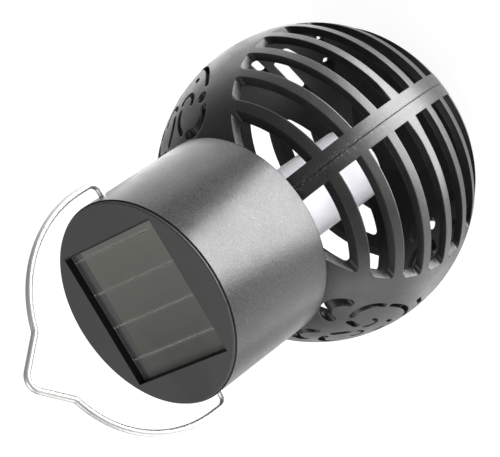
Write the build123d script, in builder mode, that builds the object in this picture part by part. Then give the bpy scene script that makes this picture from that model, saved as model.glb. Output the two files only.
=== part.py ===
"""Solar garden light: a slatted globe of two halves, a turning solar head and a wire bail.

Millimetres, +Z up.  The origin is the centre of the flat foot.  X crosses the globe's seam.
"""
from build123d import *
from math import acos, atan2, cos, degrees, floor, radians, sin, sqrt
import os

# ---------------------------------------------------------------- globe
GLOBE_RADIUS = 60.0
GLOBE_WALL = 3.0
FOOT_RADIUS = 21.5
FOOT_THICKNESS = 3.0
SEAM_BAND_HALF = 4.8          # solid rim on each side of the seam
SEAM_GROOVE = 0.3             # chamfer along the outer edge of the seam
PANEL_FRONT = 28.5            # solid filigree panel, from its middle to the front windows
PANEL_BACK = 30.5             # and to the back windows
SLAT_PITCH = 12.0
SLAT_THICKNESS = 3.5
WINDOW_CORNER = 1.8
WINDOW_DEPTH_SHARE = 0.8      # windows end this share of the radius below the equator
PEG_DIAMETER = 1.6            # locating pegs moulded on the left half
PEG_LENGTH = 3.0
PEG_CLEARANCE = 0.1
PEG_ANGLES = (0, -35)         # above the equator, seen from the centre

# ---------------------------------------------------------------- head
HEAD_TURN = -10.9             # degrees about Z at rest, against the globe
HEAD_RADIUS = 39.8
SLEEVE_HEIGHT = 51.4
SLEEVE_WALL = 1.2
SLEEVE_FIT = 0.2              # plates inside the sleeve
RIM_GAP = 0.7                 # sleeve's lower rim above the top of the globe's shell
PLATE_FLANGE = 1.3            # top plate's edge, standing on the sleeve
PLATE_FLANGE_INSET = 0.5
PLATE_CHAMFER = 0.4
PLATE_FLOOR = 1.2

PANEL_SIDE = 51.2
PANEL_FIT = 0.3
PANEL_SINK = 2.9              # glass below the plate's face
GLASS_THICKNESS = 1.8
CELL_THICKNESS = 0.2
CELL_GAP = 1.0
CELL_PITCH = 13.45
CELL_FIRST_LINE = -17.5       # first gap between the cell strips, from the middle
BACKING_THICKNESS = 0.6
TAPE_THICKNESS = 0.4
TAPE_WIDTH = 6.0

# ---------------------------------------------------------------- neck, where the head plugs in
NECK_WALL = 3.5
NECK_CLEARANCE = 2.1          # neck to the sleeve's bore
NECK_HEIGHT = 5.2
NECK_LEDGE = 1.0              # shell beyond the neck at its foot
SEAL_WALL = 2.9
SEAL_FLANGE = 1.2
SEAL_FIT = 0.05
SEAL_REACH = 6.0              # seal's sleeve below the neck's top
SPIGOT_WALL = 2.0
SPIGOT_REACH = 7.0
BASE_THICKNESS = 2.5

# ---------------------------------------------------------------- bail
WIRE_DIAMETER = 2.5
PIVOT_FIT = 0.08
PIVOT_BELOW_TOP = 9.0
BAIL_LEAN = 6.0               # degrees from upright at rest, towards the back
BAIL_SIDE_GAP = 4.2           # sleeve to the inside of the wire
BAIL_PIN_REACH = 4.6          # wire inside the sleeve
BAIL_CORNER = 3.4             # centre-line radii of the bends
BAIL_NOTCH = 4.0
BAIL_PEAK = 5.1
BAIL_ARC_RISE = 7.8           # centre of the side arcs above the pivot
BAIL_HEIGHT = 63.0            # centre line of the peak above the pivot
BAIL_FLANK = 47.0             # degrees from level

# ---------------------------------------------------------------- light, battery, circuit
DIFFUSER_RADIUS = 14.7
DIFFUSER_WALL = 1.2
DIFFUSER_OFFSET = -2.4        # the light stands beside the axis
DIFFUSER_BELOW_CENTRE = 22.0
DIFFUSER_END_RADIUS = 3.0
SOCKET_WALL = 2.0
SOCKET_DEPTH = 5.5
SOCKET_FIT = 0.1
LED_RADIUS = 2.5
LED_LENGTH = 8.6
LED_FLANGE_RADIUS = 2.9
LED_FLANGE = 1.0
LED_HOLE_RADIUS = 4.0

CELL_RADIUS = 7.25            # size AA
CELL_LENGTH = 49.3
CELL_NUB_RADIUS = 2.7
CELL_NUB = 1.2
CELL_EDGE = 0.5
TRAY_CLEARANCE = 0.25
TRAY_WALL = 1.5
TRAY_FLOOR = 1.5
TRAY_SIDE_HEIGHT = 9.0
TRAY_END_HEIGHT = 12.0
TRAY_OFFSET = 12.4            # battery's axis, beside the middle of the head
EAR_SIDE = 5.2                # square ears of the tray
EAR_SPREAD = 12.0
EAR_FRONT = 20.0
CONTACT_SPACE = 3.2
CONTACT_THICKNESS = 0.4
CONTACT_WIDTH = 8.0
CONTACT_BEND = 0.5
CONTACT_FOOT = 1.5            # slope at the strip's foot and above the middle of its bow
CONTACT_TOP = 2.0             # strip above the tray's end wall
CONTACT_LIP = 3.0             # slope of the free leg, below the strip's top

BOARD_LENGTH = 38.0
BOARD_WIDTH = 16.0
BOARD_CENTRE = (-7.0, -5.2)
BOARD_THICKNESS = 1.6
BOARD_STANDOFF = 4.6
STANDOFF_RADIUS = 2.2
STANDOFF_PLACES = ((9.0, -9.5), (-12.0, -9.5))
CHIP_SIZE = (5.0, 4.0, 1.5)
CHIP_PLACE = (-14.0, -3.0)
COIL_RADIUS = 2.0
COIL_HEIGHT = 4.0
COIL_PLACE = (-20.0, -3.0)

SWITCH_PLACE = (-22.5, -3.0)
SWITCH_BODY = (6.0, 10.0, 4.2)
SLIDER_WIDTH = 2.6
SLIDER_LENGTH = 3.6
SLIDER_TRAVEL = 4.0
SLIDER_STEM = 1.6             # stands inside the switch's body
SLIDER_PROUD = 2.5            # stands below the base plate
SLIDER_CLEARANCE = 0.2

POST_RADIUS = 3.5
POST_ANGLES = (223, 325)      # front posts; the third stands behind the tray
POST_CLEARANCE = 0.3
SCREW_RADIUS = 1.3
SCREW_HEAD_RADIUS = 2.6
SCREW_HEAD = 1.6
SCREW_LENGTH = 10.0
SCREW_FIT = 0.2
SMALL_SCREW_RADIUS = 0.9
SMALL_HEAD_RADIUS = 1.8
SMALL_HEAD = 1.2
SMALL_SCREW_LENGTH = 5.0
LEAD_RADIUS = 0.6
LEAD_BEND = 2.0
LEAD_SPACING = 2.6
LEAD_JOG = 4.0                # sidestep of the panel's wires towards their pads
LEAD_DROP = 6.0               # straight run below the top plate
LEAD_RISE = 12.0              # straight run above the board
LEAD_OVER_CELL = 4.0          # battery's wires above the cell
PANEL_LEAD_PLACE = (-3.0, -6.0)
MINUS_LANDING = (-24.0, -3.0)
PLUS_LANDING = (8.0, 0.0)

# ---------------------------------------------------------------- derived heights and radii
GLOBE_CENTRE = sqrt(GLOBE_RADIUS**2 - FOOT_RADIUS**2)
SLEEVE_BORE = HEAD_RADIUS - SLEEVE_WALL
NECK_OUTER = SLEEVE_BORE - NECK_CLEARANCE
NECK_BORE = NECK_OUTER - NECK_WALL
RIM_RADIUS = NECK_OUTER + NECK_LEDGE
RIM_RISE = sqrt(GLOBE_RADIUS**2 - RIM_RADIUS**2)
RIM_Z = GLOBE_CENTRE + RIM_RISE
NECK_TOP = RIM_Z + NECK_HEIGHT
BASE_Z = NECK_TOP + SEAL_FLANGE
BASE_TOP = BASE_Z + BASE_THICKNESS
SLEEVE_Z = RIM_Z + RIM_GAP
SLEEVE_TOP = SLEEVE_Z + SLEEVE_HEIGHT
HEAD_TOP = SLEEVE_TOP + PLATE_FLANGE
PIVOT_Z = HEAD_TOP - PIVOT_BELOW_TOP
PLATE_RADIUS = SLEEVE_BORE - SLEEVE_FIT
GLASS_TOP = HEAD_TOP - PANEL_SINK
CELLS_TOP = GLASS_TOP - GLASS_THICKNESS
BACKING_TOP = CELLS_TOP - CELL_THICKNESS
TAPE_TOP = BACKING_TOP - BACKING_THICKNESS
RECESS_Z = TAPE_TOP - TAPE_THICKNESS
PLATE_Z = RECESS_Z - PLATE_FLOOR
SEAL_OUTER = NECK_BORE - SEAL_FIT
SEAL_BORE = SEAL_OUTER - SEAL_WALL
SPIGOT_OUTER = SEAL_BORE - SEAL_FIT
BOARD_Z = BASE_TOP + BOARD_STANDOFF
BOARD_TOP = BOARD_Z + BOARD_THICKNESS
POST_CIRCLE = SPIGOT_OUTER - SPIGOT_WALL - SCREW_HEAD_RADIUS - 2 * POST_CLEARANCE
TRAY_HALF_WIDTH = CELL_RADIUS + TRAY_CLEARANCE + TRAY_WALL
BATTERY_Z = BASE_TOP + TRAY_FLOOR + TRAY_CLEARANCE + CELL_RADIUS
CONTACT_TOP_Z = BASE_TOP + TRAY_FLOOR + TRAY_END_HEIGHT + CONTACT_TOP
DIFFUSER_Z = GLOBE_CENTRE - DIFFUSER_BELOW_CENTRE
SLIDER_TOP = BASE_TOP + SLIDER_CLEARANCE + SLIDER_STEM

TOUCH = 0.01                  # distance within which a point counts as being on a surface

HEAD = Plane.XY.rotated((0, 0, HEAD_TURN))
HEAD_SIDE = Plane(origin=(0, 0, 0), x_dir=HEAD.y_dir, z_dir=HEAD.x_dir)
HEAD_FRONT = Plane(origin=(0, 0, 0), x_dir=HEAD.x_dir, z_dir=-HEAD.y_dir)


def level(z):
    """Horizontal plane of the head at height z."""
    return HEAD.offset(z)


def save(part, name):
    """Label a finished piece and write it out."""
    part.part.label = name
    export_step(part.part, f"parts/{name}.step")


def on_sphere(radius, rise):
    """Point of a globe's section, as (distance from the axis, height)."""
    return (sqrt(radius**2 - rise**2), GLOBE_CENTRE + rise)


# ---------------------------------------------------------------- globe halves
# Scrolls are shares of the globe's radius: y and z of the arc's centre, radius, start, sweep, width.
LEFT_SCROLLS = (
    (-0.172, 0.635, 0.094, 30, 145, 0.056),
    (-0.150, 0.465, 0.122, 92, 104, 0.036),
    (0.033, 0.430, 0.298, 191.5, 63, 0.034),
    (-0.080, 0.447, 0.046, 195, 165, 0.026),
)
RIGHT_SCROLLS = (
    (-0.170, 0.620, 0.108, 75, 110, 0.046),
    (-0.170, 0.600, 0.136, -14, 62, 0.034),
    (-0.092, 0.535, 0.060, 165, 170, 0.032),
    (0.130, 0.560, 0.400, 195.5, 48.5, 0.034),
)
# Leaves and eyes are y and z of both ends, and width.
LEFT_LEAVES = (
    (-0.088, 0.574, -0.050, 0.514, 0.042),
    (-0.070, 0.295, -0.045, 0.265, 0.032),
    (-0.225, 0.130, -0.150, 0.070, 0.034),
)
RIGHT_LEAVES = (
    (-0.244, 0.545, -0.250, 0.534, 0.062),
    (-0.124, 0.372, -0.104, 0.352, 0.034),
)
RIGHT_LOWER_LEAVES = (
    (0.150, -0.365, 0.255, -0.487, 0.055),
    (0.000, -0.505, 0.062, -0.625, 0.055),
    (0.150, -0.540, 0.300, -0.715, 0.070),
    (-0.025, -0.745, 0.045, -0.765, 0.055),
    (-0.210, -0.330, -0.110, -0.430, 0.050),
    (-0.270, -0.560, -0.150, -0.650, 0.036),
)


def scroll(centre_y, centre_z, radius, start, sweep, width, flip_y=1, flip_z=1):
    """Centre line and width of a curved slot, flipped across the panel's middle or the equator."""
    begin = start if flip_y > 0 else 180 - start - sweep
    begin = begin if flip_z > 0 else -begin - sweep
    centre = (flip_y * centre_y * GLOBE_RADIUS, GLOBE_CENTRE + flip_z * centre_z * GLOBE_RADIUS)
    return CenterArc(centre, radius * GLOBE_RADIUS, begin, sweep), width * GLOBE_RADIUS


def leaf(y_1, z_1, y_2, z_2, width, flip_y=1, flip_z=1):
    """Centre line and width of a straight slot or a round eye."""
    ends = [
        (flip_y * y * GLOBE_RADIUS, GLOBE_CENTRE + flip_z * z * GLOBE_RADIUS)
        for y, z in ((y_1, z_1), (y_2, z_2))
    ]
    return Line(*ends), width * GLOBE_RADIUS


def filigree(side):
    """Every slot of one panel.  The left panel repeats above and below the equator."""
    scrolls, leaves = (LEFT_SCROLLS, LEFT_LEAVES) if side < 0 else (RIGHT_SCROLLS, RIGHT_LEAVES)
    slots = []
    for flip_z in (1, -1) if side < 0 else (1,):
        for flip_y in (1, -1):
            slots += [scroll(*shape, flip_y, flip_z) for shape in scrolls]
            slots += [leaf(*shape, flip_y, flip_z) for shape in leaves]
    if side > 0:
        slots += [leaf(*shape) for shape in RIGHT_LOWER_LEAVES]
    return slots


def globe_half(side):
    """Half of the globe on one side of the seam: -1 is left, 1 is right."""
    inner = GLOBE_RADIUS - GLOBE_WALL
    floor_rise = FOOT_THICKNESS - GLOBE_CENTRE
    neck_rise = sqrt(inner**2 - NECK_BORE**2)
    window_edge = side * SEAM_BAND_HALF
    reach = side * GLOBE_RADIUS
    slots = filigree(side)
    rim_angle = degrees(acos((RIM_RADIUS - NECK_LEDGE / 2) / GLOBE_RADIUS))
    rim_plane = Plane(origin=(0, 0, GLOBE_CENTRE), x_dir=(1, 0, 0),
                      z_dir=(0, -sin(radians(rim_angle)), cos(radians(rim_angle))))
    with BuildPart() as half:
        with BuildSketch(Plane.YZ):
            with BuildLine():
                Polyline((0, FOOT_THICKNESS), (0, 0), (FOOT_RADIUS, 0))
                ThreePointArc((FOOT_RADIUS, 0), on_sphere(GLOBE_RADIUS, 0), (RIM_RADIUS, RIM_Z))
                Polyline((RIM_RADIUS, RIM_Z), (NECK_OUTER, RIM_Z), (NECK_OUTER, NECK_TOP),
                         (NECK_BORE, NECK_TOP), (NECK_BORE, GLOBE_CENTRE + neck_rise))
                ThreePointArc((NECK_BORE, GLOBE_CENTRE + neck_rise), on_sphere(inner, 0),
                              on_sphere(inner, floor_rise))
                Line(on_sphere(inner, floor_rise), (0, FOOT_THICKNESS))
            make_face()
        revolve(axis=Axis.Z)
        split(bisect_by=Plane.YZ, keep=Keep.TOP if side > 0 else Keep.BOTTOM)
        # bevel along the seam, from the rim round the foot to the rim
        with BuildSketch(rim_plane):
            with BuildLine():
                Polyline((0, GLOBE_RADIUS - SEAM_GROOVE), (0, GLOBE_RADIUS + SEAM_GROOVE),
                         (side * 2 * SEAM_GROOVE, GLOBE_RADIUS + SEAM_GROOVE), close=True)
            make_face()
        revolve(axis=Axis((0, 0, GLOBE_CENTRE), (-1, 0, 0)), revolution_arc=180 + 2 * rim_angle,
                mode=Mode.SUBTRACT)
        # slatted windows, cut straight away from the seam, with square corners at the rim only
        with BuildSketch(Plane.YZ.offset(window_edge)) as outlines:
            for centre_y, centre_z, width, height in windows():
                with Locations((centre_y, centre_z)):
                    Rectangle(width, height)
            fillet(outlines.vertices().filter_by(lambda corner: corner.Y < RIM_Z - TOUCH), WINDOW_CORNER)
        extrude(amount=reach, mode=Mode.SUBTRACT)
        # filigree panel
        with BuildSketch(Plane.YZ.offset(window_edge)):
            for centre_line, width in slots:
                SlotArc(centre_line, width)
        extrude(amount=reach, mode=Mode.SUBTRACT)
        # locating pegs on the left half, their sockets in the right half
        with BuildSketch(Plane.YZ):
            for angle in PEG_ANGLES:
                for end in (-1, 1):
                    radius = GLOBE_RADIUS - GLOBE_WALL / 2
                    place = (end * radius * cos(radians(angle)),
                             GLOBE_CENTRE + radius * sin(radians(angle)))
                    with Locations(place):
                        Circle(PEG_DIAMETER / 2 + (PEG_CLEARANCE if side > 0 else 0))
        if side > 0:
            extrude(amount=PEG_LENGTH + PEG_CLEARANCE, mode=Mode.SUBTRACT)
        else:
            extrude(amount=PEG_LENGTH)
    return half


def windows():
    """Middle and size of each window of one half, in the plane across the seam."""
    lowest = -floor(WINDOW_DEPTH_SHARE * GLOBE_RADIUS / SLAT_PITCH)
    highest = floor((RIM_RISE - SLAT_THICKNESS) / SLAT_PITCH)
    for side, edge in ((-1, PANEL_FRONT), (1, PANEL_BACK)):
        width = GLOBE_RADIUS - edge
        middle = side * (edge + width / 2)
        for step in range(lowest, highest):
            height = GLOBE_CENTRE + (step + 0.5) * SLAT_PITCH
            yield middle, height, width, SLAT_PITCH - SLAT_THICKNESS
        # the window above the last slat runs out under the rim of the head
        bottom = GLOBE_CENTRE + highest * SLAT_PITCH + SLAT_THICKNESS / 2
        yield middle, (bottom + RIM_Z) / 2, width, RIM_Z - bottom


# ---------------------------------------------------------------- neck seal
def annulus(outer, inner):
    """Ring shape in the sketch being drawn."""
    Circle(outer)
    Circle(inner, mode=Mode.SUBTRACT)


def neck_seal():
    """Flanged ring between the globe's neck and the head's spigot."""
    with BuildPart() as seal:
        with BuildSketch(level(NECK_TOP - SEAL_REACH)):
            annulus(SEAL_OUTER, SEAL_BORE)
        extrude(amount=SEAL_REACH)
        with BuildSketch(level(NECK_TOP)):
            annulus(NECK_OUTER, SEAL_BORE)
        extrude(amount=SEAL_FLANGE)
    return seal


# ---------------------------------------------------------------- head shell and plates
def head_sleeve():
    """Metal tube with the two holes that the bail turns in."""
    with BuildPart() as sleeve:
        with BuildSketch(level(SLEEVE_Z)):
            annulus(HEAD_RADIUS, SLEEVE_BORE)
        extrude(amount=SLEEVE_HEIGHT)
        with BuildSketch(HEAD_SIDE):
            with Locations((0, PIVOT_Z)):
                Circle(WIRE_DIAMETER / 2 + PIVOT_FIT)
        extrude(amount=HEAD_RADIUS, both=True, mode=Mode.SUBTRACT)
    return sleeve


def post_places():
    """Centres of the screw posts."""
    front = [
        (POST_CIRCLE * cos(radians(angle)), POST_CIRCLE * sin(radians(angle)))
        for angle in POST_ANGLES
    ]
    return front + [(0, TRAY_OFFSET + TRAY_HALF_WIDTH + POST_CLEARANCE + POST_RADIUS)]


def top_plate():
    """End plate that holds the solar panel, with the posts for the base screws."""
    flange = HEAD_RADIUS - PLATE_FLANGE_INSET
    recess = PANEL_SIDE + 2 * PANEL_FIT
    with BuildPart() as plate:
        with BuildSketch(level(SLEEVE_TOP)):
            Circle(flange)
        extrude(amount=PLATE_FLANGE)
        chamfer(plate.edges().filter_by(GeomType.CIRCLE).sort_by(Axis.Z)[-1], PLATE_CHAMFER)
        with BuildSketch(level(PLATE_Z)):
            Circle(PLATE_RADIUS)
        extrude(amount=SLEEVE_TOP - PLATE_Z)
        with BuildSketch(level(RECESS_Z)):
            Rectangle(recess, recess)
        extrude(amount=HEAD_TOP - RECESS_Z, mode=Mode.SUBTRACT)
        with BuildSketch(level(PLATE_Z)):
            with Locations(PANEL_LEAD_PLACE):
                Circle(LEAD_SPACING)
        extrude(amount=PLATE_FLOOR, mode=Mode.SUBTRACT)
        with BuildSketch(level(BASE_TOP)):
            with Locations(*post_places()):
                Circle(POST_RADIUS)
        extrude(amount=PLATE_Z - BASE_TOP)
        with BuildSketch(level(BASE_TOP)):
            with Locations(*post_places()):
                Circle(SCREW_RADIUS)
        extrude(amount=SCREW_LENGTH - SCREW_HEAD - BASE_THICKNESS + SCREW_FIT, mode=Mode.SUBTRACT)
    return plate


def slab(z_low, thickness, side):
    """Square plate of the panel's stack."""
    with BuildPart() as plate:
        with BuildSketch(level(z_low)):
            Rectangle(side, side)
        extrude(amount=thickness)
    return plate


def solar_cells():
    """Cell strips under the glass, with a fine gap between neighbours."""
    with BuildPart() as cells:
        with BuildSketch(level(BACKING_TOP)):
            Rectangle(PANEL_SIDE, PANEL_SIDE)
            line = CELL_FIRST_LINE
            while line < PANEL_SIDE / 2:
                with Locations((line, 0)):
                    Rectangle(CELL_GAP, PANEL_SIDE, mode=Mode.SUBTRACT)
                line += CELL_PITCH
        extrude(amount=CELL_THICKNESS)
    return cells


def panel_tape():
    """Adhesive frame under the panel."""
    with BuildPart() as tape:
        with BuildSketch(level(RECESS_Z)):
            Rectangle(PANEL_SIDE, PANEL_SIDE)
            Rectangle(PANEL_SIDE - 2 * TAPE_WIDTH, PANEL_SIDE - 2 * TAPE_WIDTH, mode=Mode.SUBTRACT)
        extrude(amount=TAPE_THICKNESS)
    return tape


def base_plate():
    """Underside of the head: spigot, diffuser socket, switch slot and board stand-offs."""
    with BuildPart() as plate:
        with BuildSketch(level(BASE_Z)):
            Circle(PLATE_RADIUS)
        extrude(amount=BASE_THICKNESS)
        with BuildSketch(level(BASE_Z - SPIGOT_REACH)):
            annulus(SPIGOT_OUTER, SPIGOT_OUTER - SPIGOT_WALL)
        extrude(amount=SPIGOT_REACH)
        with BuildSketch(level(BASE_Z - SOCKET_DEPTH)):
            with Locations((DIFFUSER_OFFSET, 0)):
                annulus(DIFFUSER_RADIUS + SOCKET_FIT + SOCKET_WALL, DIFFUSER_RADIUS + SOCKET_FIT)
        extrude(amount=SOCKET_DEPTH)
        with BuildSketch(level(BASE_TOP)):
            with Locations(*STANDOFF_PLACES):
                Circle(STANDOFF_RADIUS)
        extrude(amount=BOARD_STANDOFF)
        with BuildSketch(level(BASE_TOP)):
            with Locations(*STANDOFF_PLACES):
                Circle(SMALL_SCREW_RADIUS)
        extrude(amount=BOARD_STANDOFF, mode=Mode.SUBTRACT)
        with BuildSketch(level(BASE_Z)):
            with Locations((DIFFUSER_OFFSET, 0)):
                Circle(LED_HOLE_RADIUS)
            with Locations(SWITCH_PLACE):
                Rectangle(SLIDER_WIDTH + 2 * SLIDER_CLEARANCE,
                          SLIDER_LENGTH + SLIDER_TRAVEL + 2 * SLIDER_CLEARANCE)
            with Locations(*post_places()):
                Circle(SCREW_RADIUS + SCREW_FIT)
            with Locations(*tray_screw_places()):
                Circle(SMALL_SCREW_RADIUS)
        extrude(amount=BASE_THICKNESS, mode=Mode.SUBTRACT)
    return plate


def screws(places, head_z, radius, head_radius, head_height, length, up):
    """Pan-head screws that point up or down from the seat of their heads."""
    direction = 1 if up else -1
    with BuildPart() as group:
        with BuildSketch(level(head_z)):
            with Locations(*places):
                Circle(head_radius)
        extrude(amount=-direction * head_height)
        with BuildSketch(level(head_z)):
            with Locations(*places):
                Circle(radius)
        extrude(amount=direction * (length - head_height))
    return group


# ---------------------------------------------------------------- battery and its tray
def tray_inner_half_length():
    """Half of the tray's inner length: the cell and the space for both contacts."""
    return (CELL_LENGTH + CELL_NUB) / 2 + CONTACT_SPACE


def tray_screw_places():
    """Screws through the ears of the tray, two behind the cell and one before it."""
    reach = TRAY_HALF_WIDTH + EAR_SIDE / 2
    return [
        (-EAR_SPREAD, TRAY_OFFSET + reach),
        (EAR_SPREAD, TRAY_OFFSET + reach),
        (EAR_FRONT, TRAY_OFFSET - reach),
    ]


def battery_tray():
    """Open cradle screwed to the base plate."""
    inner_length = 2 * tray_inner_half_length()
    inner_width = 2 * (CELL_RADIUS + TRAY_CLEARANCE)
    length = inner_length + 2 * TRAY_WALL
    width = 2 * TRAY_HALF_WIDTH
    with BuildPart() as tray:
        with BuildSketch(level(BASE_TOP)):
            with Locations((0, TRAY_OFFSET)):
                Rectangle(length, width)
            with Locations(*tray_screw_places()):
                Rectangle(EAR_SIDE, EAR_SIDE + SLIDER_CLEARANCE)
        extrude(amount=TRAY_FLOOR)
        # low walls all round the cell, and a taller one at each end
        for cut_width, height in ((inner_width, TRAY_SIDE_HEIGHT), (width, TRAY_END_HEIGHT)):
            with BuildSketch(level(BASE_TOP + TRAY_FLOOR)):
                with Locations((0, TRAY_OFFSET)):
                    Rectangle(length, width)
                    Rectangle(inner_length, cut_width, mode=Mode.SUBTRACT)
            extrude(amount=height)
        with BuildSketch(level(BASE_TOP)):
            with Locations(*tray_screw_places()):
                Circle(SMALL_SCREW_RADIUS + SCREW_FIT)
        extrude(amount=TRAY_FLOOR, mode=Mode.SUBTRACT)
    return tray


def battery():
    """Rechargeable cell of size AA, with its raised positive end."""
    start = -(CELL_LENGTH + CELL_NUB) / 2
    with BuildPart() as cell:
        with BuildSketch(HEAD_SIDE.offset(start)):
            with Locations((TRAY_OFFSET, BATTERY_Z)):
                Circle(CELL_RADIUS)
        extrude(amount=CELL_LENGTH)
        fillet(cell.edges().filter_by(GeomType.CIRCLE), CELL_EDGE)
        with BuildSketch(HEAD_SIDE.offset(start + CELL_LENGTH)):
            with Locations((TRAY_OFFSET, BATTERY_Z)):
                Circle(CELL_NUB_RADIUS)
        extrude(amount=CELL_NUB)
    return cell


def contact(end):
    """Sprung contact strip at one end of the tray, bowed out against the cell."""
    back = end * (tray_inner_half_length() - CONTACT_THICKNESS)
    bow = end * ((CELL_LENGTH + CELL_NUB) / 2 + CONTACT_THICKNESS)
    low = BASE_TOP + TRAY_FLOOR + 2 * CONTACT_THICKNESS
    with BuildPart() as strip:
        with BuildSketch(HEAD_FRONT.offset(-TRAY_OFFSET)):
            with BuildLine(mode=Mode.PRIVATE) as bent:
                FilletPolyline((back, CONTACT_TOP_Z), (back, low), (bow, low + CONTACT_FOOT),
                               (bow, BATTERY_Z + CONTACT_FOOT),
                               (back - 2 * end * CONTACT_THICKNESS, CONTACT_TOP_Z - CONTACT_LIP),
                               radius=CONTACT_BEND)
            SlotArc(bent.wires()[0], CONTACT_THICKNESS)
        extrude(amount=CONTACT_WIDTH / 2, both=True)
    return strip


# ---------------------------------------------------------------- circuit and light
def circuit_board():
    """Board above the base plate, with the two holes for its screws."""
    with BuildPart() as board:
        with BuildSketch(level(BOARD_Z)):
            with Locations(BOARD_CENTRE):
                Rectangle(BOARD_LENGTH, BOARD_WIDTH)
            with Locations(*STANDOFF_PLACES):
                Circle(SMALL_SCREW_RADIUS + SCREW_FIT, mode=Mode.SUBTRACT)
        extrude(amount=BOARD_THICKNESS)
    return board


def led():
    """Round lamp that points down through the base plate into the diffuser."""
    dome_z = BOARD_Z - LED_LENGTH + LED_RADIUS
    with BuildPart() as lamp:
        with BuildSketch(level(BOARD_Z)):
            with Locations((DIFFUSER_OFFSET, 0)):
                Circle(LED_FLANGE_RADIUS)
        extrude(amount=-LED_FLANGE)
        with BuildSketch(level(BOARD_Z - LED_FLANGE)):
            with Locations((DIFFUSER_OFFSET, 0)):
                Circle(LED_RADIUS)
        extrude(amount=dome_z - BOARD_Z + LED_FLANGE)
        with Locations(HEAD.from_local_coords(Vector(DIFFUSER_OFFSET, 0, dome_z))):
            Sphere(LED_RADIUS)
    return lamp


def diffuser_tube():
    """Frosted tube, closed and rounded at its lower end."""
    with BuildPart() as tube:
        with BuildSketch(level(DIFFUSER_Z)):
            with Locations((DIFFUSER_OFFSET, 0)):
                Circle(DIFFUSER_RADIUS)
        extrude(amount=BASE_Z - DIFFUSER_Z)
        fillet(tube.edges().filter_by(GeomType.CIRCLE).sort_by(Axis.Z)[0], DIFFUSER_END_RADIUS)
        offset(amount=-DIFFUSER_WALL, openings=tube.faces().sort_by(Axis.Z)[-1])
    return tube


def driver_chip():
    """Driver chip on the top of the board."""
    length, width, height = CHIP_SIZE
    with BuildPart() as chip:
        with BuildSketch(level(BOARD_TOP)):
            with Locations(CHIP_PLACE):
                Rectangle(length, width)
        extrude(amount=height)
    return chip


def boost_coil():
    """Round coil that lifts the cell's voltage for the lamp."""
    with BuildPart() as coil:
        with BuildSketch(level(BOARD_TOP)):
            with Locations(COIL_PLACE):
                Circle(COIL_RADIUS)
        extrude(amount=COIL_HEIGHT)
    return coil


def switch_body():
    """Housing of the slide switch, between the base plate and the board."""
    length, width, height = SWITCH_BODY
    cavity = (SLIDER_WIDTH + 2 * SLIDER_CLEARANCE,
              SLIDER_LENGTH + SLIDER_TRAVEL + 2 * SLIDER_CLEARANCE)
    with BuildPart() as body:
        with BuildSketch(level(BASE_TOP)):
            with Locations(SWITCH_PLACE):
                Rectangle(length, width)
        extrude(amount=height)
        with BuildSketch(level(BASE_TOP)):
            with Locations(SWITCH_PLACE):
                Rectangle(*cavity)
        extrude(amount=SLIDER_STEM + 2 * SLIDER_CLEARANCE, mode=Mode.SUBTRACT)
    return body


def switch_slider():
    """Knob that slides in its slot; it stands at the slot's front end."""
    bottom = BASE_Z - SLIDER_PROUD
    across, along = SWITCH_PLACE
    start = along - SLIDER_TRAVEL / 2
    with BuildPart() as slider:
        with BuildSketch(level(bottom)):
            with Locations((across, start)):
                Rectangle(SLIDER_WIDTH, SLIDER_LENGTH)
        extrude(amount=SLIDER_TOP - bottom)
        for ridge in (-1, 0, 1):
            with BuildSketch(level(bottom)):
                with Locations((across, start + ridge * SLIDER_LENGTH / 4)):
                    Rectangle(SLIDER_WIDTH, SLIDER_LENGTH / 12)
            extrude(amount=SLIDER_CLEARANCE, mode=Mode.SUBTRACT)
    return slider


def lead(points):
    """Insulated wire along a bent path of the head's own coordinates."""
    with BuildPart() as wire:
        with BuildLine() as path:
            FilletPolyline(*[HEAD.from_local_coords(Vector(*point)) for point in points],
                           radius=LEAD_BEND)
        with BuildSketch(Plane(origin=path.line @ 0, z_dir=path.line % 0)):
            Circle(LEAD_RADIUS)
        sweep()
    return wire


def pair(first, second):
    """Two separate solids in one piece."""
    with BuildPart() as both:
        add(first.part)
        add(second.part)
    return both


def panel_leads():
    """Two wires from the back of the panel to the board."""
    across, along = PANEL_LEAD_PLACE
    wires = []
    for side in (-1, 1):
        top = across + side * LEAD_SPACING / 2
        wires.append(lead((
            (top, along, TAPE_TOP),
            (top, along, PLATE_Z - LEAD_DROP),
            (top - LEAD_JOG, along + LEAD_JOG, BOARD_TOP + LEAD_RISE),
            (top - LEAD_JOG, along + LEAD_JOG, BOARD_TOP),
        )))
    return pair(*wires)


def battery_leads():
    """Two wires from the contacts, over the cell, to the board."""
    crossing = BATTERY_Z + CELL_RADIUS + LEAD_OVER_CELL
    wires = []
    for end, landing in ((-1, MINUS_LANDING), (1, PLUS_LANDING)):
        reach = end * (tray_inner_half_length() - CONTACT_THICKNESS)
        wires.append(lead((
            (reach, TRAY_OFFSET, CONTACT_TOP_Z + CONTACT_THICKNESS),
            (reach, TRAY_OFFSET, crossing),
            (*landing, crossing),
            (*landing, BOARD_TOP),
        )))
    return pair(*wires)


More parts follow.
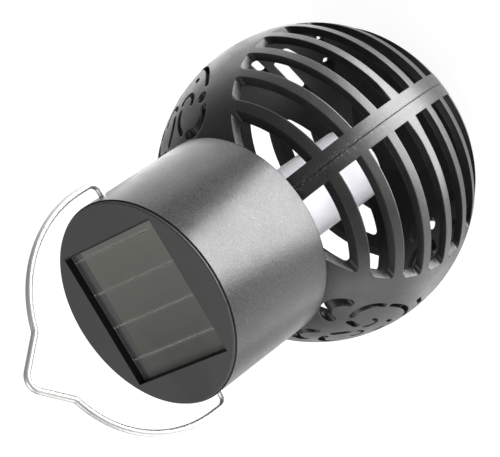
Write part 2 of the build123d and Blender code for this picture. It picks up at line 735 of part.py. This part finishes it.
# ---------------------------------------------------------------- bail
def bail():
    """Wire handle: two inward pins, side arcs, a notch on each side and a rounded peak."""
    half = HEAD_RADIUS + BAIL_SIDE_GAP + WIRE_DIAMETER / 2
    tilt = radians(BAIL_LEAN)
    flank = radians(BAIL_FLANK)
    normal = -HEAD.y_dir * cos(tilt) + Vector(0, 0, 1) * sin(tilt)
    plane = Plane(origin=(0, 0, PIVOT_Z), x_dir=HEAD.x_dir, z_dir=normal)
    pin_end = SLEEVE_BORE - BAIL_PIN_REACH
    peak_centre = BAIL_HEIGHT - BAIL_PEAK
    # the notch arc touches the side arc from outside and the straight flank from above
    out = Vector(sin(flank), cos(flank))
    down = Vector(cos(flank), -sin(flank))
    reach = half + BAIL_NOTCH
    above = peak_centre * cos(flank) + BAIL_PEAK + BAIL_NOTCH - BAIL_ARC_RISE * cos(flank)
    from_arc = out * above - down * sqrt(reach**2 - above**2)
    notch = from_arc + Vector(0, BAIL_ARC_RISE)
    arc_end = degrees(atan2(from_arc.Y, from_arc.X))
    flank_low = notch - out * BAIL_NOTCH
    flank_high = Vector(0, peak_centre) + out * BAIL_PEAK

    def arc(side, centre_x, centre_y, radius, start, sweep):
        """Arc of the right side, or its mirror image on the left."""
        CenterArc((side * centre_x, centre_y), radius, 90 - side * (90 - start), side * sweep)

    with BuildPart() as handle:
        with BuildLine(plane) as path:
            for side in (1, -1):
                Line((side * pin_end, 0), (side * (half - BAIL_CORNER), 0))
                arc(side, half - BAIL_CORNER, BAIL_CORNER, BAIL_CORNER, -90, 90)
                Line((side * half, BAIL_CORNER), (side * half, BAIL_ARC_RISE))
                arc(side, 0, BAIL_ARC_RISE, half, 0, arc_end)
                arc(side, notch.X, notch.Y, BAIL_NOTCH, arc_end + 180, 90 - BAIL_FLANK - arc_end)
                Line((side * flank_low.X, flank_low.Y), (side * flank_high.X, flank_high.Y))
                arc(side, 0, peak_centre, BAIL_PEAK, 90 - BAIL_FLANK, BAIL_FLANK)
        wire = path.wires()[0]
        with BuildSketch(Plane(origin=wire @ 0, z_dir=wire % 0)):
            Circle(WIRE_DIAMETER / 2)
        sweep(path=wire)
    return handle


# ---------------------------------------------------------------- write every piece
os.makedirs("parts", exist_ok=True)

PIECES = {
    "globe_half_left": globe_half(-1),
    "globe_half_right": globe_half(1),
    "neck_seal": neck_seal(),
    "head_sleeve": head_sleeve(),
    "top_plate": top_plate(),
    "solar_glass": slab(CELLS_TOP, GLASS_THICKNESS, PANEL_SIDE),
    "solar_cells": solar_cells(),
    "panel_backing": slab(TAPE_TOP, BACKING_THICKNESS, PANEL_SIDE),
    "panel_tape": panel_tape(),
    "base_plate": base_plate(),
    "base_screws": screws(post_places(), BASE_Z, SCREW_RADIUS, SCREW_HEAD_RADIUS, SCREW_HEAD,
                          SCREW_LENGTH, up=True),
    "battery_tray": battery_tray(),
    "tray_screws": screws(tray_screw_places(), BASE_TOP + TRAY_FLOOR, SMALL_SCREW_RADIUS,
                          SMALL_HEAD_RADIUS, SMALL_HEAD, SMALL_SCREW_LENGTH, up=False),
    "battery": battery(),
    "contact_minus": contact(-1),
    "contact_plus": contact(1),
    "circuit_board": circuit_board(),
    "board_screws": screws(STANDOFF_PLACES, BOARD_TOP, SMALL_SCREW_RADIUS, SMALL_HEAD_RADIUS,
                           SMALL_HEAD, SMALL_SCREW_LENGTH, up=False),
    "led": led(),
    "driver_chip": driver_chip(),
    "boost_coil": boost_coil(),
    "switch_body": switch_body(),
    "switch_slider": switch_slider(),
    "diffuser_tube": diffuser_tube(),
    "panel_leads": panel_leads(),
    "battery_leads": battery_leads(),
    "bail": bail(),
}
for name, piece in PIECES.items():
    save(piece, name)
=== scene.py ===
"""Solar garden light: procedural materials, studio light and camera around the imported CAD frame.

Metres, +Z up, origin at the centre of the flat foot, as in the CAD.
"""
from math import cos, pi, radians, sin

import bpy
from mathutils import Matrix, Vector


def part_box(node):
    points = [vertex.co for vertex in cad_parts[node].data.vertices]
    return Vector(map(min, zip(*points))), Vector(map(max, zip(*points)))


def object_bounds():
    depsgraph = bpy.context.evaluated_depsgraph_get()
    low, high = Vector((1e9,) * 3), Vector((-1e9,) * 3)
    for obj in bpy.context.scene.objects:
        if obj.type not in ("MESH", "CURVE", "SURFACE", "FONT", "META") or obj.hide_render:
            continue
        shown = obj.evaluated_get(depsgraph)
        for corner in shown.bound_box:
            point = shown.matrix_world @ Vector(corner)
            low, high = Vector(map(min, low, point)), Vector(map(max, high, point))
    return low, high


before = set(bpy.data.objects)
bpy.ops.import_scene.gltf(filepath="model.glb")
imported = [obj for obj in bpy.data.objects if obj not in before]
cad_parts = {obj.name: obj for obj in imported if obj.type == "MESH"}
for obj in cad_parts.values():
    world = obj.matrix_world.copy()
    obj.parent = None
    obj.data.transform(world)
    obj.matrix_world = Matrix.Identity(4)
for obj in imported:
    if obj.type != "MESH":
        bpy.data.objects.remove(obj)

CAD_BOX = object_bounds()
MM = 0.001

# ---------------------------------------------------------------- places read from the frame
GLOBE_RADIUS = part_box("globe_half_right")[1][1]
SLEEVE_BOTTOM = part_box("head_sleeve")[0][2]
GLASS_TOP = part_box("solar_glass")[1][2]

# ---------------------------------------------------------------- sizes repeated from the CAD part
FOOT_RADIUS = 21.5 * MM
GLOBE_CENTRE = (GLOBE_RADIUS**2 - FOOT_RADIUS**2) ** 0.5
HEAD_TURN = radians(-10.9)          # turn of the head's own axes about Z
RECESS_HALF = 25.9 * MM             # half the side of the panel's recess
FIRST_GAP = -17.5 * MM              # first gap between the cell strips, from the middle
CELL_PITCH = 13.45 * MM

# ---------------------------------------------------------------- where finishes change, in the head's axes
CELL_REACH = 26 * MM                # the cell's tone drifts between minus this and this
BARE_STRIP = 20.5 * MM              # start of the cell's bare strip
JACKET_HALF = 23.9 * MM             # half the length of the battery's jacket
RED_FROM = -6.6 * MM                # the wires are red on this plane's positive side


# ---------------------------------------------------------------- node helpers
class Shading:
    """A material's node tree, with one short method for each kind of node that it uses."""

    def __init__(self, name):
        self.material = bpy.data.materials.new(name)
        self.material.use_nodes = True
        self.tree = self.material.node_tree
        self.tree.nodes.clear()
        self.output = self.tree.nodes.new("ShaderNodeOutputMaterial")
        self.place = self.node("ShaderNodeTexCoord").outputs["Object"]

    def node(self, kind, **settings):
        made = self.tree.nodes.new(kind)
        for key, value in settings.items():
            setattr(made, key, value)
        return made

    def feed(self, socket, value):
        """Links an output to a socket, or writes a plain value into it."""
        if isinstance(value, bpy.types.NodeSocket):
            self.tree.links.new(value, socket)
        else:
            socket.default_value = value

    def math(self, operation, a, b=0.0):
        made = self.node("ShaderNodeMath", operation=operation)
        self.feed(made.inputs[0], a)
        self.feed(made.inputs[1], b)
        return made.outputs[0]

    def noise(self, size, detail=2.0, roughness=0.5, stretch=(1, 1, 1)):
        """Noise with features of about that size in metres."""
        scaled = self.node("ShaderNodeMapping")
        self.feed(scaled.inputs["Vector"], self.place)
        scaled.inputs["Scale"].default_value = [factor / size for factor in stretch]
        made = self.node("ShaderNodeTexNoise")
        self.feed(made.inputs["Vector"], scaled.outputs[0])
        made.inputs["Scale"].default_value = 1.0
        made.inputs["Detail"].default_value = detail
        made.inputs["Roughness"].default_value = roughness
        return made.outputs["Fac"]

    def axes(self, turn=0.0):
        """X, Y and Z in metres, on axes turned about Z."""
        turned = self.node("ShaderNodeMapping")
        self.feed(turned.inputs["Vector"], self.place)
        turned.inputs["Rotation"].default_value = (0, 0, -turn)
        split = self.node("ShaderNodeSeparateXYZ")
        self.feed(split.inputs[0], turned.outputs[0])
        return split.outputs

    def span(self, value, low, high, to_low=0.0, to_high=1.0, smooth=True):
        """Value mapped from one range to another, clamped."""
        made = self.node("ShaderNodeMapRange", interpolation_type="SMOOTHSTEP" if smooth else "LINEAR")
        self.feed(made.inputs["Value"], value)
        for name, number in (("From Min", low), ("From Max", high), ("To Min", to_low), ("To Max", to_high)):
            self.feed(made.inputs[name], number)
        return made.outputs["Result"]

    def blend(self, factor, a, b):
        """Colour between a and b."""
        made = self.node("ShaderNodeMix", data_type="RGBA")
        self.feed(made.inputs[0], factor)
        self.feed(made.inputs[6], a if isinstance(a, bpy.types.NodeSocket) else (*a, 1))
        self.feed(made.inputs[7], b if isinstance(b, bpy.types.NodeSocket) else (*b, 1))
        return made.outputs[2]

    def rounded(self, radius):
        """Normal that softens sharp edges over that radius in metres."""
        made = self.node("ShaderNodeBevel", samples=6)
        made.inputs["Radius"].default_value = radius
        return made.outputs[0]

    def bump(self, height, depth, normal=None):
        """Surface relief of that depth in metres."""
        made = self.node("ShaderNodeBump")
        made.inputs["Strength"].default_value = 1.0
        made.inputs["Distance"].default_value = depth
        self.feed(made.inputs["Height"], height)
        if normal is not None:
            self.feed(made.inputs["Normal"], normal)
        return made.outputs[0]

    def finish(self, base, roughness, **inputs):
        """Principled shader over the whole surface."""
        shader = self.node("ShaderNodeBsdfPrincipled")
        self.feed(shader.inputs["Base Color"], base if isinstance(base, bpy.types.NodeSocket) else (*base, 1))
        self.feed(shader.inputs["Roughness"], roughness)
        for name, value in inputs.items():
            socket = shader.inputs[name.replace("_", " ")]
            self.feed(socket, value)
        self.tree.links.new(shader.outputs[0], self.output.inputs["Surface"])
        return self.material


def dress(material, *nodes):
    """Gives CAD nodes that material."""
    for name in nodes:
        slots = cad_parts[name].data.materials
        if len(slots):
            for index in range(len(slots)):
                slots[index] = material
        else:
            slots.append(material)


# ---------------------------------------------------------------- visible materials
def globe_plastic():
    """Charcoal moulding: fine texture, cloudy sheen, pale scuffs along the seam and a few on the slats."""
    m = Shading("globe_plastic")
    x, _, z = m.axes()
    cloud = m.noise(9 * MM, 3, 0.6)
    fine = m.noise(0.40 * MM, 2, 0.6)
    pits = m.noise(0.9 * MM, 2, 0.6)
    near_seam = m.span(m.math("ABSOLUTE", x), 0.3 * MM, 2.6 * MM, 1, 0)
    high_up = m.span(z, GLOBE_CENTRE - 20 * MM, GLOBE_CENTRE + 35 * MM)
    seam_flecks = m.span(m.noise(0.7 * MM, 3, 0.75, stretch=(1, 1, 0.5)), 0.58, 0.66)
    seam_flecks = m.math("MULTIPLY", seam_flecks, near_seam)
    seam_wear = m.math("MULTIPLY", seam_flecks, m.math("MULTIPLY", high_up, 0.8))
    streaks = m.span(m.noise(0.5 * MM, 3, 0.7, stretch=(0.35, 0.35, 1)), 0.70, 0.76)
    patches = m.span(m.noise(11 * MM, 1), 0.60, 0.68)
    wear = m.math("MAXIMUM", seam_wear, m.math("MULTIPLY", m.math("MULTIPLY", streaks, patches), 0.5))
    body = m.blend(cloud, (0.008, 0.008, 0.0083), (0.014, 0.0138, 0.0135))
    base = m.blend(m.span(fine, 0.40, 0.70, 0, 0.6), body, (0.034, 0.034, 0.033))
    base = m.blend(wear, base, (0.30, 0.29, 0.27))
    rough = m.span(cloud, 0.3, 0.7, 0.34, 0.44)
    rough = m.math("ADD", rough, m.math("MULTIPLY", wear, 0.25))
    relief = m.bump(pits, 0.05 * MM, m.bump(fine, 0.045 * MM, m.rounded(0.55 * MM)))
    return m.finish(base, rough, Normal=relief, IOR=1.5)


def sleeve_paint():
    """Satin charcoal paint with a fine orange peel and sparkle; its lower cut edge is dark and ragged."""
    m = Shading("sleeve_paint")
    z = m.axes()[2]
    grain = m.noise(0.42 * MM, 1, 0.5)
    cloud = m.noise(6 * MM, 3, 0.6)
    orange_peel = m.noise(0.9 * MM, 2, 0.6)
    ragged = m.math("MULTIPLY", m.noise(0.8 * MM, 3, 0.7), 0.9 * MM)
    low_edge = m.math("LESS_THAN", m.math("SUBTRACT", z, SLEEVE_BOTTOM), ragged)
    flakes = m.span(grain, 0.44, 0.66)
    paint = m.blend(flakes, (0.0, 0.0, 0.0), (0.058, 0.058, 0.060))
    paint = m.blend(m.math("MULTIPLY", cloud, 0.3), paint, (0.012, 0.012, 0.0122))
    base = m.blend(low_edge, paint, (0.008, 0.008, 0.008))
    rough = m.span(cloud, 0.3, 0.7, 0.27, 0.33)
    relief = m.bump(grain, 0.017 * MM, m.bump(orange_peel, 0.030 * MM, m.rounded(0.3 * MM)))
    return m.finish(base, rough, Normal=relief, Metallic=m.span(flakes, 0, 1, 0.0, 0.4), IOR=1.46)


def plate_plastic():
    """Matte charcoal moulding with a fine even grain; painted shade makes it near black inside the panel's
    recess and in a line along one edge of it.
    """
    m = Shading("plate_plastic")
    along, across, z = m.axes(HEAD_TURN)
    reach = m.math("MAXIMUM", m.math("ABSOLUTE", along), m.math("ABSOLUTE", across))
    from_glass = m.math("ABSOLUTE", m.math("SUBTRACT", z, GLASS_TOP))
    # painted shade: the walls of the panel's recess are painted near black
    recess_shade = m.math("MULTIPLY", m.math("LESS_THAN", reach, RECESS_HALF + 0.4 * MM),
                    m.math("LESS_THAN", from_glass, 2.75 * MM))
    # painted shade: a dark line on the plate's face, along one edge of the recess
    rim_shade_line = m.math("MULTIPLY", m.span(along, RECESS_HALF - 0.1 * MM, RECESS_HALF),
                 m.span(along, RECESS_HALF + 0.6 * MM, RECESS_HALF + 0.7 * MM, 1, 0))
    rim_shade_line = m.math("MULTIPLY", rim_shade_line, m.math("LESS_THAN", m.math("ABSOLUTE", across), CELL_REACH))
    recess_shade = m.math("MAXIMUM", recess_shade, rim_shade_line)
    fine = m.noise(0.25 * MM, 2, 0.6)
    cloud = m.noise(14 * MM, 2, 0.5)
    base = m.blend(cloud, (0.040, 0.040, 0.0395), (0.050, 0.050, 0.0485))
    base = m.blend(m.math("MULTIPLY", fine, 0.4), base, (0.058, 0.058, 0.057))
    # painted shade, near black, in the recess and along its one edge
    base = m.blend(recess_shade, base, (0.004, 0.004, 0.004))
    rough = m.span(fine, 0.3, 0.7, 0.5, 0.62)
    return m.finish(base, rough, Normal=m.bump(fine, 0.02 * MM), IOR=1.5)


def panel_glass():
    """Clear flat cover glass with a faint green body and a little dust."""
    m = Shading("panel_glass")
    dust = m.span(m.noise(0.35 * MM, 3, 0.7), 0.64, 0.80, 0, 0.06)
    rough = m.math("ADD", dust, 0.015)
    return m.finish((0.93, 0.96, 0.93), rough, IOR=1.5, Transmission_Weight=1.0)


def cell_silicon():
    """Grey-green thin-film cell: fine lines, pale margins at the gaps, a bare strip along the back edge."""
    m = Shading("cell_silicon")
    along, across, _ = m.axes(HEAD_TURN)
    drift = m.math("ADD", m.span(along, -CELL_REACH, CELL_REACH, 0, 0.8, smooth=False),
                   m.math("MULTIPLY", m.noise(16 * MM, 2, 0.5), 0.2))
    lines = m.noise(0.3 * MM, 2, 0.6, stretch=(1, 0.02, 1))
    base = m.blend(drift, (0.090, 0.093, 0.076), (0.240, 0.244, 0.215))
    base = m.blend(m.math("MULTIPLY", lines, 0.25), base, (0.17, 0.17, 0.155))
    # each strip is paler beside the gaps between neighbours
    from_gap = m.math("PINGPONG", m.math("SUBTRACT", along, FIRST_GAP - 2 * CELL_PITCH), CELL_PITCH / 2)
    base = m.blend(m.span(from_gap, 0.9 * MM, 1.2 * MM, 0.10, 0), base, (0.42, 0.42, 0.38))
    bare = m.span(across, BARE_STRIP, BARE_STRIP + 0.4 * MM)
    base = m.blend(bare, base, (0.115, 0.105, 0.112))
    return m.finish(base, 0.34, Normal=m.bump(lines, 0.004 * MM), IOR=1.6)


def backing_board():
    """Grey laminate that shows between the cell strips."""
    m = Shading("backing_board")
    weave = m.noise(0.5 * MM, 2, 0.6)
    base = m.blend(weave, (0.095, 0.096, 0.084), (0.115, 0.117, 0.102))
    return m.finish(base, 0.5, Normal=m.bump(weave, 0.01 * MM))


def frosted_plastic():
    """Milky translucent tube, faintly lavender."""
    m = Shading("frosted_plastic")
    haze = m.noise(5 * MM, 2, 0.5)
    grain = m.noise(0.2 * MM, 1, 0.5)
    base = m.blend(haze, (0.80, 0.80, 0.88), (0.86, 0.86, 0.93))
    return m.finish(base, m.span(grain, 0.3, 0.7, 0.30, 0.42), Normal=m.bump(grain, 0.008 * MM),
                    Subsurface_Weight=0.5, Subsurface_Radius=(0.7, 0.7, 0.9), Subsurface_Scale=3 * MM,
                    IOR=1.46)


def wire_steel():
    """Satin steel wire with fine marks and faint smears."""
    m = Shading("wire_steel")
    marks = m.noise(0.7 * MM, 3, 0.7)
    smears = m.noise(7 * MM, 2, 0.5)
    base = m.blend(marks, (0.60, 0.585, 0.575), (0.70, 0.685, 0.675))
    rough = m.span(smears, 0.3, 0.7, 0.40, 0.48)
    return m.finish(base, rough, Metallic=0.85, Normal=m.bump(marks, 0.003 * MM))


def seal_rubber():
    """Soft black rubber with a bloom."""
    m = Shading("seal_rubber")
    bloom = m.noise(3 * MM, 3, 0.6)
    base = m.blend(bloom, (0.012, 0.012, 0.012), (0.03, 0.03, 0.03))
    return m.finish(base, m.span(bloom, 0.3, 0.7, 0.6, 0.8), Normal=m.bump(m.noise(0.3 * MM), 0.02 * MM))


# ---------------------------------------------------------------- materials inside the head
def speckled(name, dark, light, grain, rough, metallic=0.0, depth=0.01 * MM):
    """Plain material with a fine two-tone grain and relief."""
    m = Shading(name)
    fine = m.noise(grain, 3, 0.6)
    base = m.blend(fine, dark, light)
    return m.finish(base, m.span(fine, 0.3, 0.7, rough, rough + 0.12), Metallic=metallic,
                    Normal=m.bump(fine, depth))


def board_laminate():
    """Green solder mask with fine tracks showing through it."""
    m = Shading("board_laminate")
    tracks = m.node("ShaderNodeTexBrick")
    scaled = m.node("ShaderNodeMapping")
    m.feed(scaled.inputs["Vector"], m.place)
    scaled.inputs["Rotation"].default_value = (0, 0, -HEAD_TURN)
    scaled.inputs["Scale"].default_value = [1 / (6 * MM)] * 3
    m.feed(tracks.inputs["Vector"], scaled.outputs[0])
    tracks.inputs["Mortar Size"].default_value = 0.05
    base = m.blend(tracks.outputs["Fac"], (0.012, 0.10, 0.04), (0.03, 0.22, 0.09))
    return m.finish(base, 0.28, Normal=m.bump(m.noise(0.6 * MM), 0.01 * MM), Coat_Weight=0.4)


def cell_jacket():
    """Plain green shrink sleeve over the can of the cell, bare metal at both ends."""
    m = Shading("cell_jacket")
    along = m.axes(HEAD_TURN)[0]
    ends = m.span(m.math("ABSOLUTE", along), JACKET_HALF, JACKET_HALF + 0.3 * MM)
    fine = m.noise(0.8 * MM, 2, 0.5)
    base = m.blend(ends, m.blend(fine, (0.01, 0.13, 0.05), (0.02, 0.18, 0.07)), (0.55, 0.54, 0.52))
    return m.finish(base, m.span(fine, 0.3, 0.7, 0.25, 0.35), Metallic=m.math("MULTIPLY", ends, 0.9),
                    Normal=m.bump(fine, 0.006 * MM))


def lead_insulation():
    """Smooth insulation, red and black by place: one of the panel's wires crosses over and has both."""
    m = Shading("lead_insulation")
    along = m.axes(HEAD_TURN)[0]
    is_red = m.math("GREATER_THAN", along, RED_FROM)
    fine = m.noise(0.6 * MM, 2, 0.5)
    base = m.blend(is_red, (0.015, 0.015, 0.015), (0.42, 0.02, 0.015))
    return m.finish(base, m.span(fine, 0.3, 0.7, 0.3, 0.42), Normal=m.bump(fine, 0.006 * MM))


dress(globe_plastic(), "globe_half_left", "globe_half_right")
dress(sleeve_paint(), "head_sleeve")
dress(plate_plastic(), "top_plate", "base_plate")
dress(panel_glass(), "solar_glass")
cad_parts["solar_glass"].visible_shadow = False
dress(cell_silicon(), "solar_cells")
dress(backing_board(), "panel_backing")
dress(frosted_plastic(), "diffuser_tube")
dress(wire_steel(), "bail")
dress(seal_rubber(), "neck_seal")
dress(speckled("foam_tape", (0.02, 0.02, 0.02), (0.05, 0.05, 0.05), 0.4 * MM, 0.8), "panel_tape")
dress(speckled("screw_steel", (0.42, 0.42, 0.43), (0.60, 0.60, 0.60), 0.3 * MM, 0.28, 1.0),
      "base_screws", "tray_screws", "board_screws")
dress(speckled("tray_plastic", (0.010, 0.010, 0.010), (0.022, 0.022, 0.022), 0.3 * MM, 0.42), "battery_tray")
dress(speckled("slider_plastic", (0.008, 0.008, 0.008), (0.018, 0.018, 0.018), 0.25 * MM, 0.38),
      "switch_slider")
dress(speckled("contact_steel", (0.50, 0.48, 0.43), (0.66, 0.64, 0.58), 0.4 * MM, 0.22, 1.0),
      "contact_minus", "contact_plus")
dress(speckled("switch_metal", (0.44, 0.44, 0.43), (0.60, 0.60, 0.58), 0.4 * MM, 0.3, 1.0), "switch_body")
dress(speckled("chip_plastic", (0.010, 0.010, 0.010), (0.024, 0.024, 0.024), 0.15 * MM, 0.5), "driver_chip")
dress(speckled("coil_ferrite", (0.030, 0.027, 0.026), (0.065, 0.06, 0.058), 0.3 * MM, 0.5), "boost_coil")
dress(speckled("lamp_resin", (0.70, 0.66, 0.42), (0.80, 0.77, 0.58), 1.5 * MM, 0.12), "led")
dress(board_laminate(), "circuit_board")
dress(cell_jacket(), "battery")
dress(lead_insulation(), "panel_leads", "battery_leads")


# ---------------------------------------------------------------- floor and world
def white_to_eye(shading, strength):
    """Emission seen by the camera, in gloss and through glass, but not by diffuse rays."""
    paths = shading.node("ShaderNodeLightPath")
    seen = shading.math("MAXIMUM", paths.outputs["Is Camera Ray"],
                        shading.math("MAXIMUM", paths.outputs["Is Glossy Ray"],
                                     paths.outputs["Is Transmission Ray"]))
    glow = shading.node("ShaderNodeEmission")
    glow.inputs["Color"].default_value = (1, 1, 1, 1)
    shading.feed(glow.inputs["Strength"], shading.math("MULTIPLY", seen, strength))
    return glow.outputs[0]


def floor_material():
    """Pale floor that reads white, and a little darker in the object's shadow."""
    m = Shading("floor")
    diffuse = m.node("ShaderNodeBsdfDiffuse")
    diffuse.inputs["Color"].default_value = (0.30, 0.30, 0.30, 1)
    total = m.node("ShaderNodeAddShader")
    m.feed(total.inputs[0], diffuse.outputs[0])
    m.feed(total.inputs[1], white_to_eye(m, 0.92))
    m.tree.links.new(total.outputs[0], m.output.inputs["Surface"])
    return m.material


FLOOR_HALF = 4.0
FLOOR_DROP = 0.2 * MM               # keeps the floor clear of the foot
floor_mesh = bpy.data.meshes.new("floor")
floor_mesh.from_pydata(
    [(-FLOOR_HALF, -FLOOR_HALF, 0), (FLOOR_HALF, -FLOOR_HALF, 0),
     (FLOOR_HALF, FLOOR_HALF, 0), (-FLOOR_HALF, FLOOR_HALF, 0)], [], [(0, 1, 2, 3)])
floor = bpy.data.objects.new("floor", floor_mesh)
floor.location.z = -FLOOR_DROP
floor_mesh.materials.append(floor_material())
bpy.context.scene.collection.objects.link(floor)

world = bpy.data.worlds.new("studio")
bpy.context.scene.world = world
world.use_nodes = True
world_tree = world.node_tree
sky = world_tree.nodes["Background"]
sky.inputs["Color"].default_value = (1, 1, 1, 1)
sky_paths = world_tree.nodes.new("ShaderNodeLightPath")
sky_level = world_tree.nodes.new("ShaderNodeMapRange")
sky_level.inputs["To Min"].default_value = 0.28     # diffuse and glossy light
sky_level.inputs["To Max"].default_value = 1.0      # seen by the camera
world_tree.links.new(sky_paths.outputs["Is Camera Ray"], sky_level.inputs["Value"])
world_tree.links.new(sky_level.outputs[0], sky.inputs["Strength"])


# ---------------------------------------------------------------- studio lights
OBJECT_MIDDLE = Vector((0, 0, CAD_BOX[1][2] / 2))


def area_lamp(name, width, height, power, place, rotation):
    """Rectangular lamp that the camera doesn't see."""
    lamp = bpy.data.lights.new(name, "AREA")
    lamp.shape = "RECTANGLE"
    lamp.size = width
    lamp.size_y = height
    lamp.energy = power
    holder = bpy.data.objects.new(name, lamp)
    holder.location = place
    holder.rotation_euler = rotation
    holder.visible_camera = False
    bpy.context.scene.collection.objects.link(holder)


def softbox(name, azimuth, elevation, distance, width, height, power):
    """Lamp that faces the object's middle from that direction and distance."""
    azimuth = radians(azimuth)
    elevation = radians(elevation)
    away = Vector((cos(elevation) * cos(azimuth), cos(elevation) * sin(azimuth), sin(elevation)))
    area_lamp(name, width, height, power, OBJECT_MIDDLE + away * distance,
              away.to_track_quat("Z", "Y").to_euler())


def floor_panel(name, x, y, across, along, radiance):
    """Lit panel that lies on the floor and faces up, given by its middle."""
    area_lamp(name, across, along, radiance * pi * across * along, (x, y, 1 * MM), (pi, 0, 0))


floor_panel("low_front", -0.009, -0.235, 0.19, 0.31, 14.0)
floor_panel("low_left", -0.240, -0.040, 0.30, 0.18, 1.3)
floor_panel("low_right", 0.155, 0.030, 0.19, 0.21, 1.5)
softbox("overhead", 150, 74, 1.2, 1.0, 1.0, 9.0)
softbox("side_left", 172, 12, 1.0, 0.7, 0.6, 4.0)


# ---------------------------------------------------------------- camera, fitted to the photograph
CAMERA_FROM_CENTRE = Vector((-36.57, -613.29, 580.88)) * MM     # from the globe's middle
VIEW_AZIMUTH = radians(86.565)
VIEW_TILT = radians(-41.360)
VIEW_ROLL = radians(-125.580)
LENS = 161.81                       # millimetres

forward = Vector((cos(VIEW_TILT) * cos(VIEW_AZIMUTH), cos(VIEW_TILT) * sin(VIEW_AZIMUTH), sin(VIEW_TILT)))
level_right = Vector((sin(VIEW_AZIMUTH), -cos(VIEW_AZIMUTH), 0))
level_up = level_right.cross(forward)
right = level_right * cos(VIEW_ROLL) + level_up * sin(VIEW_ROLL)
up = right.cross(forward)
lens = bpy.data.cameras.new("camera")
lens.lens = LENS
lens.clip_start = 0.01
camera = bpy.data.objects.new("camera", lens)
turn = Matrix((right, up, -forward)).transposed().to_4x4()
camera.matrix_world = Matrix.Translation(Vector((0, 0, GLOBE_CENTRE)) + CAMERA_FROM_CENTRE) @ turn
bpy.context.scene.collection.objects.link(camera)
bpy.context.scene.camera = camera

bpy.context.scene.view_settings.view_transform = "Standard"
